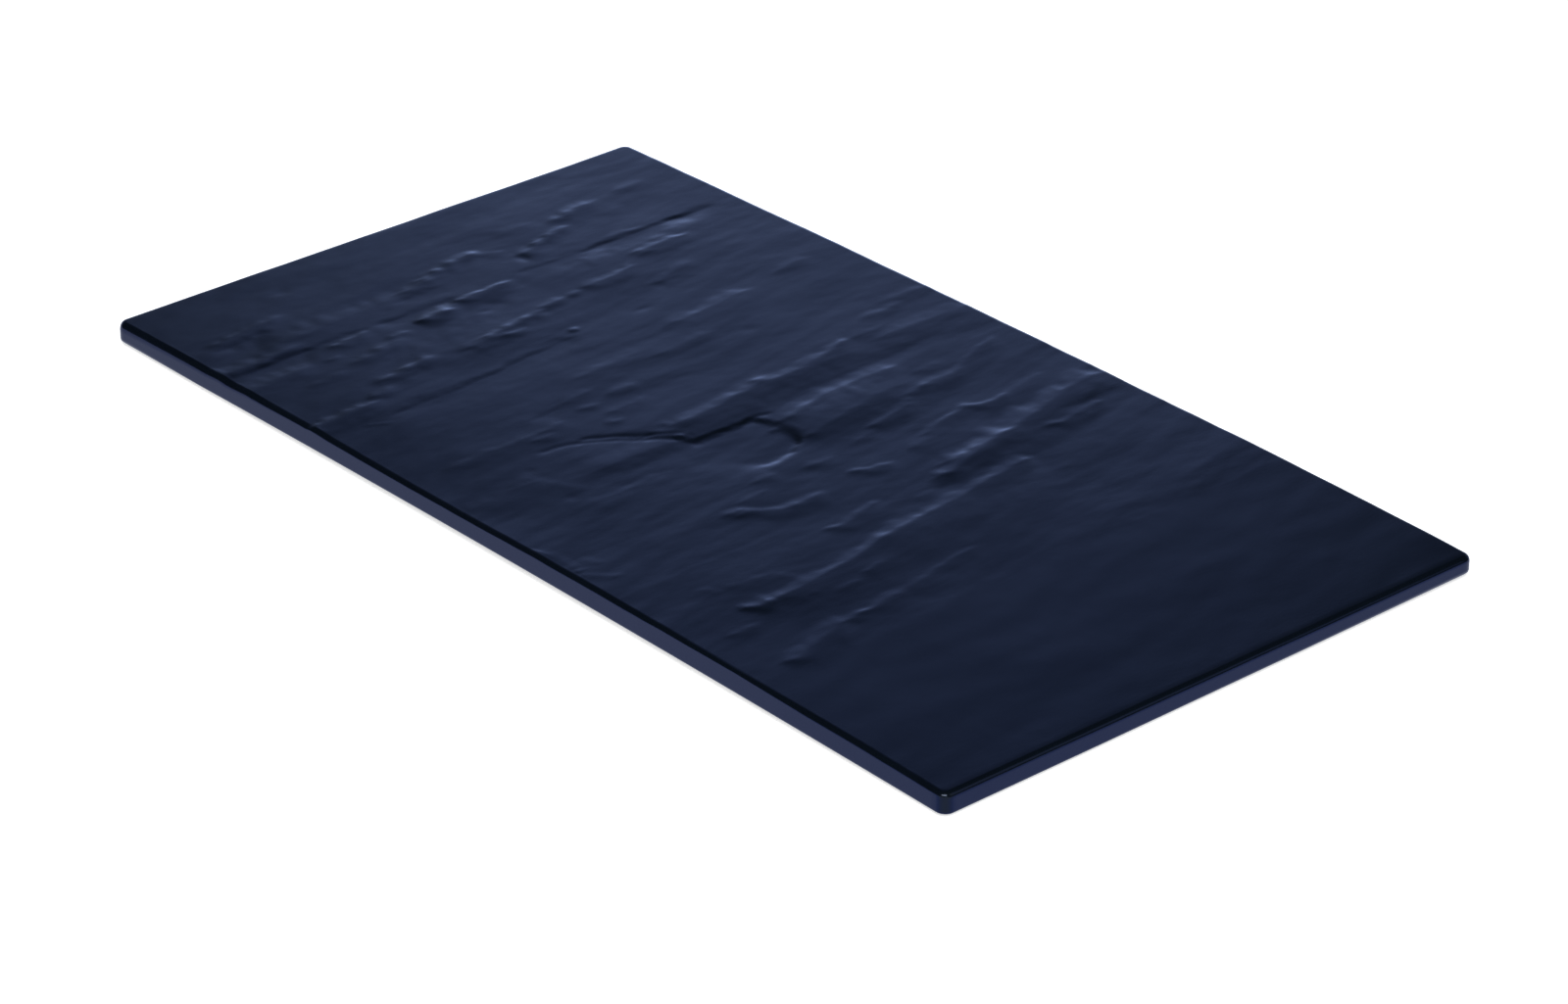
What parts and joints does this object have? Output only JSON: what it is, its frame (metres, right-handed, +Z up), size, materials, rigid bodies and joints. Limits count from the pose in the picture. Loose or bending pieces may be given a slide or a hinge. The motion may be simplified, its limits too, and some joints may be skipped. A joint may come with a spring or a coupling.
{
  "type": "serving platter",
  "caption": "Flat rectangular serving platter moulded in dark blue-grey melamine with a cleft slate face, standing on bonded non-slip feet.",
  "frame": {"origin": "centre of the platter's outline on the table that its feet stand on", "axes": "+X along the length, +Y across the width towards the rear, +Z up out of the serving face"},
  "size_m": [0.325, 0.176, 0.0092],
  "materials": {
    "melamine": "satin moulded melamine, dark blue grey",
    "silicone": "soft matt silicone rubber, near black",
    "adhesive": "acrylic adhesive disc, grey"
  },
  "bodies": {
    "root": {"platter_slab": "melamine", "foot_front_left": "silicone", "foot_front_right": "silicone", "foot_rear_left": "silicone", "foot_rear_right": "silicone", "adhesive_front_left": "adhesive", "adhesive_front_right": "adhesive", "adhesive_rear_left": "adhesive", "adhesive_rear_right": "adhesive"}
  },
  "joints": []
}
